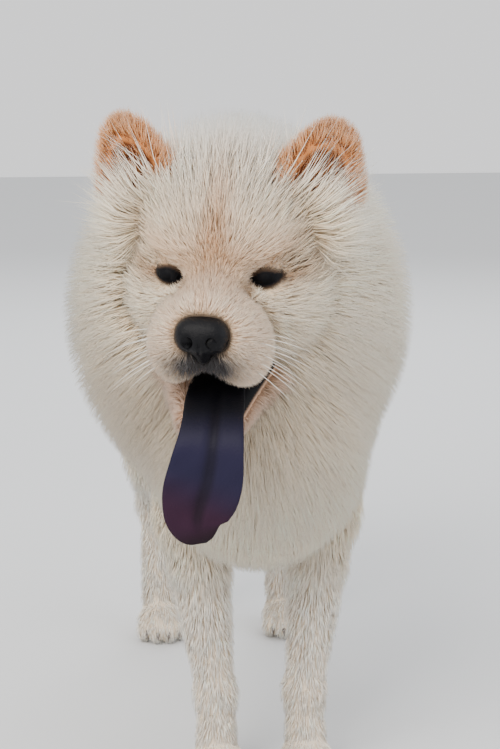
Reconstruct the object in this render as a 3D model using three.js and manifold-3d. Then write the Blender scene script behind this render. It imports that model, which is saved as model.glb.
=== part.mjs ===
// Chow chow with a cream coat and a blue-black tongue, standing still, its head turned a little to its right.
// Millimetres. The dog faces -Y, its left side is +X, and it stands on Z = 0.
// A form is first a field, negative inside it. A closed shell of points is then wrapped round the field.
// A piece grown by the gap cuts its neighbour, so that the two meet face to face and never overlap.
import * as THREE from "three";
import { mergeVertices } from "three/addons/utils/BufferGeometryUtils.js";
import Module from "manifold-3d";

const wasm = await Module();
wasm.setup();
const { clamp, lerp, smoothstep, degToRad } = THREE.MathUtils;
const vec = (x, y, z) => new THREE.Vector3(x, y, z);
const sides = { right: -1, left: 1 };

// Driving dimensions
const GAP = 0.3;
const SHOULDER_TOP = 470; // floor to the shoulder, under the coat
const CHEST_BOTTOM = 240; // floor to the breastbone, under the coat
const FORE_FEET_Y = -191;
const HIND_FEET_Y = 213;
const FORE_FOOT_X = 42;
const ELBOW_X = 60;
const HIND_FOOT_X = 72;
const EYES = vec(-47, -292, 492); // midway between the eyeballs
const EYE_X = 39;
const EYE_RADIUS = 11.5;
const HEAD_YAW = degToRad(-15.4); // to the dog's right
const HEAD_PITCH = degToRad(8); // nose down
const HEAD_ROLL = degToRad(1);
const JAW_HINGE = vec(0, 42, -48); // from the eyes
const JAW_OPEN = degToRad(21);
const LEG_COAT = 8;
const RUFF_CORE_DEPTH = 27; // from the tips of the ruff's locks to its core
const BODY_CORE_DEPTH = 10;
const HEAD_CORE_SHARE = 0.5;
const TAIL_CORE_DEPTH = 11;
const BREECHES_CORE_DEPTH = 10;
const LOCK_THICKNESS = 9;
const LOCK_SINK = 9; // how deep a lock's root lies in its core

// Fields
const ball = (centre, radii) => (p) => {
  const x = (p.x - centre.x) / radii.x;
  const y = (p.y - centre.y) / radii.y;
  const z = (p.z - centre.z) / radii.z;
  const share = Math.hypot(x, y, z);
  const slope = Math.hypot(x / radii.x, y / radii.y, z / radii.z);
  return slope < 1e-9 ? -Math.min(radii.x, radii.y, radii.z) : (share * (share - 1)) / slope;
};

const limb = (start, end, startRadius, endRadius) => {
  const along = end.clone().sub(start);
  return (p) => {
    const from = p.clone().sub(start);
    const t = clamp(from.dot(along) / along.lengthSq(), 0, 1);
    return from.addScaledVector(along, -t).length() - lerp(startRadius, endRadius, t);
  };
};

const softMin = (a, b, softness) => {
  const near = Math.max(softness - Math.abs(a - b), 0) / softness;
  return Math.min(a, b) - (near * near * softness) / 4;
};

const blend = (softness, ...fields) => (p) =>
  fields.reduce((least, field) => softMin(least, field(p), softness), 1e3);

const carve = (softness, field, ...cuts) => (p) =>
  -cuts.reduce((least, cut) => softMin(least, cut(p), softness), -field(p));

const bothSides = (make) => [make(-1), make(1)];
const mirrored = (side, x, y, z) => vec(side * x, y, z);

const slopeOf = (field, p) => {
  const step = 0.5;
  const rise = (x, y, z) => field(vec(p.x + x, p.y + y, p.z + z)) - field(vec(p.x - x, p.y - y, p.z - z));
  return vec(rise(step, 0, 0), rise(0, step, 0), rise(0, 0, step)).normalize();
};

// The point where a field ends, from a point inside it
function reach(field, from, direction, grow) {
  const at = (t) => field(from.clone().addScaledVector(direction, t)) - grow;
  let inside = 0;
  let outside = 0;
  for (let d = at(0); d < 0; d = at(outside)) {
    inside = outside;
    outside += Math.max(1.5, -0.7 * d);
  }
  for (let i = 0; i < 22; i++) {
    const middle = (inside + outside) / 2;
    if (at(middle) < 0) inside = middle;
    else outside = middle;
  }
  return from.clone().addScaledVector(direction, outside);
}

// Solids
function solidOf(geometry) {
  geometry.deleteAttribute("normal");
  geometry.deleteAttribute("uv");
  const merged = mergeVertices(geometry, 1e-4);
  const triVerts = new Uint32Array(merged.index.array);
  const build = () =>
    new wasm.Manifold(
      new wasm.Mesh({ numProp: 3, vertProperties: merged.attributes.position.array, triVerts }),
    );
  const made = build();
  if (made.volume() > 0) return made;
  for (let i = 0; i < triVerts.length; i += 3)
    [triVerts[i + 1], triVerts[i + 2]] = [triVerts[i + 2], triVerts[i + 1]];
  return build();
}

// A sphere whose points are moved to place(around, along), both from 0 to 1
function shell(around, rows, place) {
  const geometry = new THREE.SphereGeometry(1, around, rows);
  const { position, uv } = geometry.attributes;
  for (let i = 0; i < position.count; i++) {
    const along = 1 - uv.getY(i);
    const isPole = along < 1e-6 || along > 1 - 1e-6;
    const p = place(isPole ? 0 : uv.getX(i) % 1, along);
    position.setXYZ(i, p.x, p.y, p.z);
  }
  return solidOf(geometry);
}

// Looks out from a spine to where the field ends, with a fan of directions at both ends, as on a capsule
function placer({ field, spine, rows, endRows = 3, up = vec(0, 0, 1) }, grow) {
  const curve = new THREE.CatmullRomCurve3(spine);
  return (around, along) => {
    const row = along * rows;
    const toEnd = Math.min(row, rows - row);
    const t = clamp((row - endRows) / (rows - 2 * endRows), 0, 1);
    const tangent = curve.getTangentAt(t);
    const side = tangent.clone().cross(up).normalize();
    const top = side.clone().cross(tangent);
    const angle = around * 2 * Math.PI;
    const open = (Math.min(toEnd / endRows, 1) * Math.PI) / 2;
    const direction = side.multiplyScalar(Math.cos(angle) * Math.sin(open));
    direction.addScaledVector(top, Math.sin(angle) * Math.sin(open));
    direction.addScaledVector(tangent, Math.cos(open) * (row < rows / 2 ? -1 : 1));
    return reach(field, curve.getPointAt(t), direction.normalize(), grow);
  };
}
const wrap = (form, grow = 0) => shell(form.around, form.rows, placer(form, grow));
const lump = (centre, radii, around = 12, rows = 8) =>
  solidOf(new THREE.SphereGeometry(1, around, rows).scale(radii.x, radii.y, radii.z).translate(...centre));
const unite = (pieces) => wasm.Manifold.union(pieces);
const cut = (body, ...tools) =>
  tools.reduce((rest, tool) => {
    const left = rest.subtract(tool);
    return left.numTri() > 0 ? left : rest;
  }, body);
const largest = (body) =>
  body.decompose().reduce((best, piece) => (piece.volume() > best.volume() ? piece : best));

// A flat tapering lock, which leaves its root steeply and then lies over
function lock({ root, normal, lie, length, height, width }, grow = 0) {
  const run = Math.sqrt(Math.max(length ** 2 - height ** 2, (0.4 * length) ** 2));
  const path = new THREE.QuadraticBezierCurve3(
    root.clone().addScaledVector(normal, -LOCK_SINK),
    root.clone().addScaledVector(normal, height * 0.75).addScaledVector(lie, run * 0.3),
    root.clone().addScaledVector(normal, height).addScaledVector(lie, run),
  );
  return shell(4, 4, (around, along) => {
    const p = path.getPoint(along);
    const tangent = path.getTangent(along);
    if (along < 0.01) return p.addScaledVector(tangent, -3 * grow);
    if (along > 0.99) return p.addScaledVector(tangent, 5 * grow);
    const side = tangent.clone().cross(normal).normalize();
    const top = side.clone().cross(tangent);
    const fullness = 1 - Math.abs(along - 0.45) ** 1.5 * 1.6;
    const angle = around * 2 * Math.PI;
    p.addScaledVector(side, ((width * fullness) / 2 + grow) * Math.cos(angle));
    return p.addScaledVector(top, ((LOCK_THICKNESS * fullness) / 2 + grow) * Math.sin(angle));
  });
}

const seeded = (seed) => () => {
  seed = (seed + 0x6d2b79f5) | 0;
  let t = Math.imul(seed ^ (seed >>> 15), 1 | seed);
  t = (t + Math.imul(t ^ (t >>> 7), 61 | t)) ^ t;
  return ((t ^ (t >>> 14)) >>> 0) / 4294967296;
};

// Locks spread evenly over a core, where the coat is long
function locksOn(form, { seed, count, where, lie, depth, length, width }) {
  const random = seeded(seed);
  const place = placer(form, 0);
  const found = [];
  for (let i = 0; i < count; i++) {
    const root = place((i * 0.618034) % 1, Math.acos(1 - (2 * (i + 0.5)) / count) / Math.PI);
    const turn = (random() - 0.5) * 0.5;
    const height = depth(root) * (0.9 + 0.3 * random());
    const long = length * (0.85 + 0.3 * random());
    const wide = width * (0.85 + 0.3 * random());
    if (!where(root)) continue;
    const normal = slopeOf(form.field, root);
    const direction = lie(root).projectOnPlane(normal).normalize().applyAxisAngle(normal, turn);
    const tip = root.clone().addScaledVector(normal, height).addScaledVector(direction, long * 0.94);
    const beyond = Math.max(form.field(tip) - depth(root) - 3, 0); // past the coat's outer face
    found.push({ root, normal, lie: direction, length: long, height: height - beyond, width: wide });
  }
  return found;
}
const haired = (form, locks, grow = 0) => unite([wrap(form, grow), ...locks.map((one) => lock(one, grow))]);

// Torso
const chestMiddle = (SHOULDER_TOP + CHEST_BOTTOM) / 2;
const torsoFlesh = blend(
  45,
  ball(vec(0, -120, chestMiddle), vec(86, 130, (SHOULDER_TOP - CHEST_BOTTOM) / 2)),
  ball(vec(0, 40, 366), vec(80, 150, 92)),
  ball(vec(0, 160, 370), vec(78, 84, 86)),
);
const torsoCoat = (p) => {
  const behindRuff = smoothstep(p.y, -200, -70);
  return lerp(6, 32 - BODY_CORE_DEPTH, behindRuff) + 10 * smoothstep(p.y, 160, 240);
};
const torso = {
  field: (p) => torsoFlesh(p) - torsoCoat(p),
  spine: [vec(0, -130, 355), vec(0, 20, 364), vec(0, 165, 370)],
  around: 20,
  rows: 15,
  endRows: 4,
};
const torsoLocks = locksOn(torso, {
  seed: 11,
  count: 64,
  where: (p) => p.y > -90 && p.y < 265 && !(Math.abs(p.x) > 40 && p.y > 70 && p.z < 420),
  lie: (p) => vec(p.x * 0.002, 1, -0.45),
  depth: () => BODY_CORE_DEPTH,
  length: 84,
  width: 46,
});

// Neck with its ruff, and the bib that hangs over the chest
const ruffCoreDepth = (p) => RUFF_CORE_DEPTH * lerp(0.55, 1, smoothstep(p.z, 250, 380));
const ruff = {
  field: (p) =>
    blend(
      34,
      ball(vec(-18, -172, 440), vec(157, 98, 176)),
      ball(vec(-6, -226, 322), vec(98, 66, 108)),
      ball(vec(-6, -112, 392), vec(126, 82, 112)),
    )(p) + ruffCoreDepth(p),
  spine: [vec(-4, -212, 310), vec(-12, -180, 400), vec(-22, -172, 500)],
  around: 22,
  rows: 15,
  endRows: 4,
  up: vec(0, -1, 0),
};
const ruffLocks = locksOn(ruff, {
  seed: 23,
  count: 78,
  where: (p) => p.y > -305 && (p.y < -95 || p.z > 470) && (p.z > 420 || p.y < -150 || Math.abs(p.x) > 75),
  lie: (p) => {
    const out = vec(p.x + 30, 0, p.z - 440).normalize();
    return out.multiplyScalar(0.8).add(vec(0, 0.3, -0.5));
  },
  depth: ruffCoreDepth,
  length: 84,
  width: 44,
});

// Head, in its own frame: the origin is midway between the eyes, -Y is forward
const headFlesh = carve(
  7,
  blend(
    15,
    ball(vec(0, 50, 16), vec(60, 66, 60)),
    ball(vec(0, 2, 22), vec(42, 28, 28)),
    ...bothSides((s) => ball(vec(s * 38, 24, -22), vec(28, 38, 36))),
    limb(vec(0, -2, -4), vec(0, -60, -17), 22, 17),
    ...bothSides((s) => ball(vec(s * 16, -46, -38), vec(24, 31, 29))),
    ...bothSides((s) => ball(vec(s * 22, -36, -54), vec(20, 33, 24))),
    ball(vec(0, 34, -44), vec(46, 44, 44)),
  ),
  ...bothSides((s) => ball(vec(s * (EYE_X + 1), -15, 1), vec(12.5, 11, 8.5))),
  limb(vec(0, -80, -42), vec(0, -72, -70), 2, 3.5),
  ball(vec(0, -36, -80), vec(22, 56, 16)),
);
const headCoatDepth = (p) => {
  const back = p.y + 0.6 * Math.max(p.z - 10, 0) + 0.5 * Math.max(Math.abs(p.x) - 42, 0);
  return lerp(4, 46, smoothstep(back, -22, 75));
};
const headCoreDepth = (p) => HEAD_CORE_SHARE * Math.max(headCoatDepth(p) - 16, 0) * 1.4;
const head = {
  field: (p) => headFlesh(p) - headCoatDepth(p) + headCoreDepth(p),
  spine: [vec(0, 60, -2), vec(0, 10, -11), vec(0, -40, -29)],
  around: 28,
  rows: 22,
  endRows: 6,
};
const headLocks = locksOn(head, {
  seed: 37,
  count: 50,
  where: (p) => p.y > 6 && p.y < 66 && (p.z > 34 || Math.abs(p.x) > 52) && p.z > -70,
  lie: (p) => p.clone().sub(vec(0, -92, -30)).normalize(),
  depth: (p) => headCoreDepth(p) * 0.9,
  length: 62,
  width: 38,
});
const headFrame = new THREE.Group();
headFrame.position.copy(EYES);
headFrame.rotation.set(HEAD_PITCH, HEAD_ROLL, HEAD_YAW, "ZYX");
headFrame.updateMatrixWorld(true);
const onHead = (body) => body.transform(headFrame.matrixWorld.elements);

// Lids: a thin cap over each eyeball with an almond slit, its outer corner higher
const LID_THICKNESS = 2.2;
const SLIT_WIDTH = 25;
const SLIT_HEIGHT = 10;
const eyeCentre = (side) => vec(side * EYE_X, 0, 0);
function slit(side) {
  const almond = new THREE.Shape();
  almond.moveTo(-SLIT_WIDTH / 2, 0);
  almond.quadraticCurveTo(0, SLIT_HEIGHT, SLIT_WIDTH / 2, 0);
  almond.quadraticCurveTo(0, -SLIT_HEIGHT * 0.8, -SLIT_WIDTH / 2, 0);
  const prism = new THREE.ExtrudeGeometry(almond, { depth: 30, bevelEnabled: false, curveSegments: 5 });
  prism.rotateX(Math.PI / 2);
  prism.rotateY(side * degToRad(-12));
  prism.rotateZ(side * degToRad(16));
  return solidOf(prism.translate(side * EYE_X, 0, 0));
}
const lids = (side) => lump(eyeCentre(side), vec(1, 1, 1).multiplyScalar(EYE_RADIUS + LID_THICKNESS), 16, 10);

// Nose leather, with a comma-shaped nostril on each side
const NOSE = vec(0, -80, -29);
const nose = {
  field: blend(
    6,
    ball(vec(0, NOSE.y + 3, NOSE.z + 3), vec(18, 14, 13)),
    ...bothSides((s) => ball(vec(s * 11.5, NOSE.y + 2, NOSE.z), vec(10.5, 12, 13))),
    limb(vec(0, NOSE.y - 4, NOSE.z - 6), vec(0, NOSE.y + 2, NOSE.z - 17), 6, 4),
  ),
  spine: [vec(0, NOSE.y + 4, NOSE.z + 1), vec(0, NOSE.y, NOSE.z)],
  around: 18,
  rows: 10,
  endRows: 4,
};
const nostril = (s) =>
  unite([
    lump(vec(s * 9.5, NOSE.y - 11, NOSE.z - 2), vec(4, 9, 4.6), 8, 6),
    wrap({
      field: limb(vec(s * 10, NOSE.y - 8, NOSE.z - 3), vec(s * 20, NOSE.y, NOSE.z - 4), 3.2, 2),
      spine: [vec(s * 11, NOSE.y - 8, NOSE.z - 3), vec(s * 19, NOSE.y, NOSE.z - 4)],
      around: 6,
      rows: 7,
    }),
  ]);
const noseSolid = wrap(nose).subtract(unite(bothSides(nostril)));

// Ears: thick rounded triangles, cupped in front
const EAR_LENGTH = 84;
const EAR_HALF_WIDTH = 39;
const EAR_DEPTH = 15;
function earShape(side, shrink, forward, grow = 0) {
  const base = mirrored(side, 67, 40, 42);
  const tip = mirrored(side, 92, 46, 116);
  const rise = tip.clone().sub(base).normalize();
  const out = mirrored(side, 0.96, 0.25, 0).projectOnPlane(rise).normalize();
  const front = rise.clone().cross(out).multiplyScalar(side);
  if (front.y > 0) front.negate();
  return shell(10, 7, (around, along) => {
    const t = Math.sin((along * Math.PI) / 2);
    const narrowing = Math.cos((along * Math.PI) / 2) ** 0.75 * Math.min(1, 5 * along + 0.001);
    const angle = around * 2 * Math.PI;
    const wide = (EAR_HALF_WIDTH * shrink + grow) * narrowing * (1 - 0.25 * t);
    const deep = (EAR_DEPTH * shrink + grow) * narrowing;
    return base
      .clone()
      .addScaledVector(rise, (EAR_LENGTH * shrink + grow) * t + (1 - shrink) * EAR_LENGTH * 0.35)
      .addScaledVector(out, wide * Math.cos(angle))
      .addScaledVector(front, deep * Math.sin(angle) + forward);
  });
}
const earRaw = (side, grow = 0) => earShape(side, 1, 0, grow).subtract(earShape(side, 0.68, EAR_DEPTH * 0.8));

// Lower jaw, in a frame at the hinge, hanging open
const jaw = {
  field: carve(
    6,
    blend(
      10,
      ball(vec(0, -92, -32), vec(28, 34, 15)),
      ...bothSides((s) => limb(vec(s * 34, -40, -26), vec(s * 16, -112, -22), 11, 8)),
      ball(vec(0, -44, -38), vec(36, 46, 19)),
      limb(vec(-14, -114, -22), vec(14, -114, -22), 8, 8),
    ),
    ball(vec(0, -70, -12), vec(20, 62, 13)),
  ),
  spine: [vec(0, -30, -36), vec(0, -92, -32)],
  around: 18,
  rows: 12,
  endRows: 4,
};
const JAW_COAT = 3;
jaw.field = ((bare) => (p) => bare(p) - JAW_COAT)(jaw.field);
const jawFrame = new THREE.Matrix4().makeRotationX(JAW_OPEN).setPosition(JAW_HINGE).elements;

// Tongue: out over the lower lip, down and a little to the dog's right
const TONGUE_THICKNESS = 8;
const tonguePath = new THREE.CatmullRomCurve3([
  vec(0, 6, -84),
  vec(5, -36, -93),
  vec(10, -72, -103),
  vec(11, -90, -118),
  vec(6, -93, -145),
  vec(-3, -93, -172),
  vec(-1, -94, -201),
]);
const tongueHalfWidth = (t) =>
  lerp(20, 24, smoothstep(t, 0, 0.35)) +
  6.5 * smoothstep(t, 0.4, 0.72) -
  9 * smoothstep(t, 0.76, 0.95);
function tongueRaw(grow = 0) {
  return shell(12, 20, (around, along) => {
    const t = clamp(along, 0.001, 0.999);
    const from = tonguePath.getPointAt(t);
    const tangent = tonguePath.getTangentAt(t);
    const across = vec(1, 0, 0).projectOnPlane(tangent).normalize();
    const top = across.clone().cross(tangent).negate();
    const rounding = Math.sqrt(clamp(1 - ((t - 0.9) / 0.1) ** 2, 0, 1));
    const close = (t > 0.9 ? rounding : 1) * Math.min(1, t * 20);
    const angle = around * 2 * Math.PI;
    const half = (tongueHalfWidth(t) + grow) * close * Math.cos(angle);
    const groove = Math.exp(-((half / 5) ** 2)) * 2.2 * smoothstep(t, 0.1, 0.3);
    const thick = (TONGUE_THICKNESS / 2) * Math.sin(angle);
    const curl = (half / 26) ** 2 * 3;
    const lift = thick * Math.min(1, close * 1.4) + Math.sign(thick) * grow - (thick > 0 ? groove : 0) - curl;
    return from.addScaledVector(across, half).addScaledVector(top, -lift);
  });
}

// Legs
const foreleg = (side) => ({
  field: (p) =>
    blend(
      14,
      limb(mirrored(side, 54, -172, 330), mirrored(side, ELBOW_X, -150, 250), 42, 32),
      limb(mirrored(side, ELBOW_X, -156, 245), mirrored(side, FORE_FOOT_X, FORE_FEET_Y + 12, 80), 28, 15),
      limb(mirrored(side, FORE_FOOT_X, FORE_FEET_Y + 12, 80), mirrored(side, FORE_FOOT_X, FORE_FEET_Y + 2, 30), 15, 17),
    )(p) - lerp(6, LEG_COAT + 2, smoothstep(p.z, 60, 200)),
  spine: [
    mirrored(side, 54, -166, 320),
    mirrored(side, ELBOW_X, -154, 240),
    mirrored(side, FORE_FOOT_X, FORE_FEET_Y + 12, 90),
    mirrored(side, FORE_FOOT_X, FORE_FEET_Y + 3, 46),
  ],
  around: 12,
  rows: 12,
  up: vec(0, 1, 0),
});
const hindleg = (side) => ({
  field: (p) =>
    blend(
      18,
      limb(mirrored(side, 54, 168, 370), mirrored(side, 66, 156, 290), 62, 52),
      limb(mirrored(side, 66, 160, 285), mirrored(side, HIND_FOOT_X, 236, 150), 44, 19),
      limb(mirrored(side, HIND_FOOT_X, 238, 146), mirrored(side, HIND_FOOT_X, HIND_FEET_Y + 8, 34), 18, 18),
    )(p) - lerp(8, 24 - BREECHES_CORE_DEPTH, smoothstep(p.z, 130, 260)),
  spine: [
    mirrored(side, 56, 160, 360),
    mirrored(side, 67, 158, 275),
    mirrored(side, HIND_FOOT_X, 232, 160),
    mirrored(side, HIND_FOOT_X, HIND_FEET_Y + 12, 56),
  ],
  around: 12,
  rows: 14,
  endRows: 3,
  up: vec(0, 1, 0),
});
const hindLocks = (side) =>
  locksOn(hindleg(side), {
    seed: 41 + side,
    count: 32,
    where: (p) => p.z > 205 && p.z < 430 && (p.x * side > 92 || (p.y > 195 && p.x * side > 20)),
    lie: () => vec(0, 0.5, -1),
    depth: () => BREECHES_CORE_DEPTH,
    length: 72,
    width: 42,
  });
const TOES = [-1.5, -0.5, 0.5, 1.5];
const paw = (side, x, y) => ({
  field: blend(
    6,
    ball(mirrored(side, x, y, 17), vec(25, 33, 25)),
    ...TOES.map((toe) => {
      const forward = Math.abs(toe) < 1 ? 33 : 25;
      return limb(
        mirrored(side, x + toe * 10, y - 10, 20),
        mirrored(side, x + toe * 12, y - forward, 11),
        11,
        10.5,
      );
    }),
  ),
  spine: [mirrored(side, x, y + 12, 17), mirrored(side, x, y - 16, 15)],
  around: 14,
  rows: 9,
  endRows: 4,
});
const claw = (side, x, y, toe) => {
  const forward = Math.abs(toe) < 1 ? 38 : 30;
  const root = mirrored(side, x + toe * 12, y - forward, 12);
  const tip = root.clone().add(vec(0, -10, -8));
  return shell(4, 4, (around, along) => {
    const angle = around * 2 * Math.PI;
    const radius = 2.8 * Math.sin(Math.PI * along ** 0.6);
    return root.clone().lerp(tip, along).add(vec(radius * Math.cos(angle), 0, radius * Math.sin(angle)));
  });
};

// Tail, in two lengths: it stands up from the croup, then lies forward along the back
const tailBase = {
  field: (p) =>
    blend(
      12,
      limb(vec(0, 214, 420), vec(0, 250, 470), 30, 40),
      limb(vec(0, 250, 470), vec(1, 240, 506), 40, 44),
    )(p) + TAIL_CORE_DEPTH,
  spine: [vec(0, 226, 434), vec(0, 240, 470), vec(1, 242, 502)],
  around: 12,
  rows: 8,
};
const tailPlume = {
  field: (p) =>
    blend(
      14,
      limb(vec(2, 228, 524), vec(10, 186, 534), 46, 50),
      limb(vec(10, 186, 534), vec(24, 98, 514), 50, 34),
    )(p) + TAIL_CORE_DEPTH,
  spine: [vec(4, 222, 522), vec(12, 170, 528), vec(23, 104, 517)],
  around: 12,
  rows: 10,
  endRows: 3,
};
const tailBaseLocks = locksOn(tailBase, {
  seed: 53,
  count: 9,
  where: (p) => p.y > 225,
  lie: () => vec(0, 0.25, 1),
  depth: () => TAIL_CORE_DEPTH,
  length: 66,
  width: 36,
});
const tailLocks = locksOn(tailPlume, {
  seed: 59,
  count: 18,
  where: (p) => p.z > 515 || Math.abs(p.x - 12) > 28,
  lie: () => vec(0.12, -1, -0.1),
  depth: () => TAIL_CORE_DEPTH,
  length: 66,
  width: 36,
});

// Assembly: what each piece grows from is grown by the gap and cut away
const floor = solidOf(new THREE.BoxGeometry(2000, 2000, 200).translate(0, 0, -100));
const torsoGap = wrap(torso, GAP);
const headGap = onHead(haired(head, headLocks, GAP));
const ruffGap = haired(ruff, ruffLocks, GAP);

const dog = new THREE.Group();
function add(name, body, look) {
  const { vertProperties, triVerts } = largest(body).getMesh();
  const geometry = new THREE.BufferGeometry();
  geometry.setAttribute("position", new THREE.BufferAttribute(new Float32Array(vertProperties), 3));
  geometry.setIndex(new THREE.BufferAttribute(new Uint32Array(triVerts), 1));
  geometry.computeVertexNormals();
  const mesh = new THREE.Mesh(geometry, look);
  mesh.name = name;
  dog.add(mesh);
}
const material = (color, roughness) => new THREE.MeshStandardMaterial({ color, roughness });
const cream = material(0xe6ddd0, 0.95);
const apricot = material(0xd9a577, 0.95);
const noseBlack = material(0x1c1a20, 0.45);
const eyeBrown = material(0x140d0a, 0.1);
const tongueBlue = material(0x3a3350, 0.5);

const eyeball = (side, grow = 0) =>
  lump(eyeCentre(side), vec(1, 1, 1).multiplyScalar(EYE_RADIUS + grow), 16, 10);
const tongueGap = onHead(tongueRaw(GAP));
const jawGap = onHead(wrap(jaw, GAP).transform(jawFrame));
const eyeRoom = unite([...bothSides(slit), ...bothSides((side) => eyeball(side, GAP))]);
const headWhole = cut(
  unite([onHead(haired(head, headLocks)), ...bothSides(lids).map(onHead)]),
  torsoGap,
  onHead(eyeRoom),
  onHead(wrap(nose, GAP)),
  tongueGap,
);
const jawWhole = cut(onHead(wrap(jaw).transform(jawFrame)), headGap, torsoGap, tongueGap);

const torsoTufts = cut(
  unite(torsoLocks.map((one) => lock(one))),
  ruffGap,
  headGap,
  ...bothSides((side) => haired(hindleg(side), hindLocks(side), GAP)),
  ...bothSides((side) => wrap(foreleg(side), GAP)),
  haired(tailBase, tailBaseLocks, GAP),
  haired(tailPlume, tailLocks, GAP),
);
add("torso", unite([wrap(torso), torsoTufts]), cream);
add("neck_ruff", cut(haired(ruff, ruffLocks), torsoGap, headGap, jawGap, tongueGap), cream);
add("head", headWhole, cream);
add("jaw", jawWhole, cream);
add("nose", onHead(noseSolid), noseBlack);
add("tongue", onHead(tongueRaw()), tongueBlue);
for (const [name, side] of Object.entries(sides)) {
  add("eye_" + name, onHead(eyeball(side)), eyeBrown);
  add("ear_" + name, cut(onHead(earRaw(side)), headGap, ruffGap, torsoGap), apricot);
  const forePaw = wrap(paw(side, FORE_FOOT_X, FORE_FEET_Y - 8));
  const hindPaw = wrap(paw(side, HIND_FOOT_X, HIND_FEET_Y - 4));
  const foreClaws = TOES.map((toe) => claw(side, FORE_FOOT_X, FORE_FEET_Y - 8, toe));
  const hindClaws = TOES.map((toe) => claw(side, HIND_FOOT_X, HIND_FEET_Y - 4, toe));
  add("forepaw_" + name, unite([forePaw, ...foreClaws]).subtract(floor), cream);
  add("hindpaw_" + name, unite([hindPaw, ...hindClaws]).subtract(floor), cream);
  const forePawGap = wrap(paw(side, FORE_FOOT_X, FORE_FEET_Y - 8), GAP);
  const hindPawGap = wrap(paw(side, HIND_FOOT_X, HIND_FEET_Y - 4), GAP);
  add("foreleg_" + name, cut(wrap(foreleg(side)), torsoGap, ruffGap, forePawGap), cream);
  add("hindleg_" + name, cut(haired(hindleg(side), hindLocks(side)), torsoGap, hindPawGap), cream);
}
add("tail_base", cut(haired(tailBase, tailBaseLocks), torsoGap), cream);
add("tail_plume", cut(haired(tailPlume, tailLocks), torsoGap, haired(tailBase, tailBaseLocks, GAP)), cream);

// The origin is on the floor under the middle of the whole dog
const box = new THREE.Box3().setFromObject(dog, true);
const middle = box.getCenter(vec(0, 0, 0));
dog.position.set(-middle.x, -middle.y, 0);

export default dog;
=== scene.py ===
import math

import bmesh
import bpy
import numpy as np
from mathutils import Matrix, Vector, kdtree


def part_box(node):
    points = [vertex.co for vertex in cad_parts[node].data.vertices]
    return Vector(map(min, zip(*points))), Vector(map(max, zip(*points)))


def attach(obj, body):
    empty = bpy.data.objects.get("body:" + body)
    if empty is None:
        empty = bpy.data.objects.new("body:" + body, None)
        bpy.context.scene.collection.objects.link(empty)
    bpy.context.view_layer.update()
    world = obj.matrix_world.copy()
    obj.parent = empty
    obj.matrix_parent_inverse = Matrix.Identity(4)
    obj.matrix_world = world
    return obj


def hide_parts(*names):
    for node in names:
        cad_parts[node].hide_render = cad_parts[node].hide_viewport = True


# Frame, camera, light and floor
# The dog was measured in millimetres from a point between its fore feet, facing -Y with its left side +X.
# Everything is shaped in those millimetres, then moved to the row's origin and turned into metres.
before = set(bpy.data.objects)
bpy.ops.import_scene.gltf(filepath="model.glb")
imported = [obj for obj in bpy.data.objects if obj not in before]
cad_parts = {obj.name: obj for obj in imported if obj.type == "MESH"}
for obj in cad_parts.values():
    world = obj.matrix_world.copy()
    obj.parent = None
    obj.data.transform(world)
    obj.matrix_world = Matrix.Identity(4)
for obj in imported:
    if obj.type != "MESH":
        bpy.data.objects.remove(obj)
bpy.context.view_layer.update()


def turn(axis, degrees):
    return np.array(Matrix.Rotation(math.radians(degrees), 3, axis))


WORLD = (np.eye(3), np.zeros(3))
EYES = np.array([-47.0, -292.0, 492.0])
EYE_X = 39.0
EYE_RADIUS = 11.5
HEAD = (turn("Z", -15.4) @ turn("Y", 1) @ turn("X", 8), EYES)


def to_world(place, q):
    return np.atleast_2d(q) @ place[0].T + place[1]


def to_local(place, p):
    return (p - place[1]) @ place[0]


eye_low, eye_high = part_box("eye_left")
eye_middle = np.array((Vector(eye_low) + Vector(eye_high)) / 2) * 1000
SHIFT = eye_middle - to_world(HEAD, (EYE_X, 0, 0))[0]


def metres(p):
    return (np.asarray(p, float) + SHIFT) / 1000


CAMERA_PLACE = (-173.2, -1736.4, 705.5)
CAMERA_LENS = 85
CAMERA_DOWN = 11.65
CAMERA_TURN = -6
SKY_COLOR = (0.95, 0.95, 0.96, 1)
SKY_STRENGTH = 1.25

scene = bpy.context.scene
camera = bpy.data.objects.new("camera", bpy.data.cameras.new("camera"))
camera.data.lens = CAMERA_LENS
camera.location = metres(CAMERA_PLACE)
camera.rotation_euler = (math.radians(90 - CAMERA_DOWN), 0, math.radians(CAMERA_TURN))
scene.collection.objects.link(camera)
scene.camera = camera

world = bpy.data.worlds.new("sky")
world.use_nodes = True
sky = world.node_tree.nodes["Background"]
sky.inputs["Color"].default_value = SKY_COLOR
sky.inputs["Strength"].default_value = SKY_STRENGTH
scene.world = world


def area_light(name, place, target, size, power, color):
    data = bpy.data.lights.new(name, "AREA")
    data.size = size
    data.energy = power
    data.color = color
    lamp = bpy.data.objects.new(name, data)
    lamp.location = place
    lamp.rotation_euler = (Vector(target) - Vector(place)).to_track_quat("-Z", "Y").to_euler()
    scene.collection.objects.link(lamp)


area_light("key", (-1.3, -1.9, 2.3), (0, -0.2, 0.35), 1.8, 115, (1.0, 0.96, 0.90))
area_light("fill", (2.2, -0.9, 1.2), (0, 0, 0.35), 2.2, 26, (0.90, 0.94, 1.0))
area_light("rim", (0.4, 2.3, 1.9), (0, 0, 0.4), 1.8, 40, (0.95, 0.97, 1.0))


def plain_material(name, color, roughness):
    material = bpy.data.materials.new(name)
    material.use_nodes = True
    shader = material.node_tree.nodes["Principled BSDF"]
    shader.inputs["Base Color"].default_value = (*color, 1)
    shader.inputs["Roughness"].default_value = roughness
    return material


def new_object(name, mesh, material):
    made = bpy.data.objects.new(name, mesh)
    mesh.materials.clear()
    mesh.materials.append(material)
    scene.collection.objects.link(made)
    return made


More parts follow.
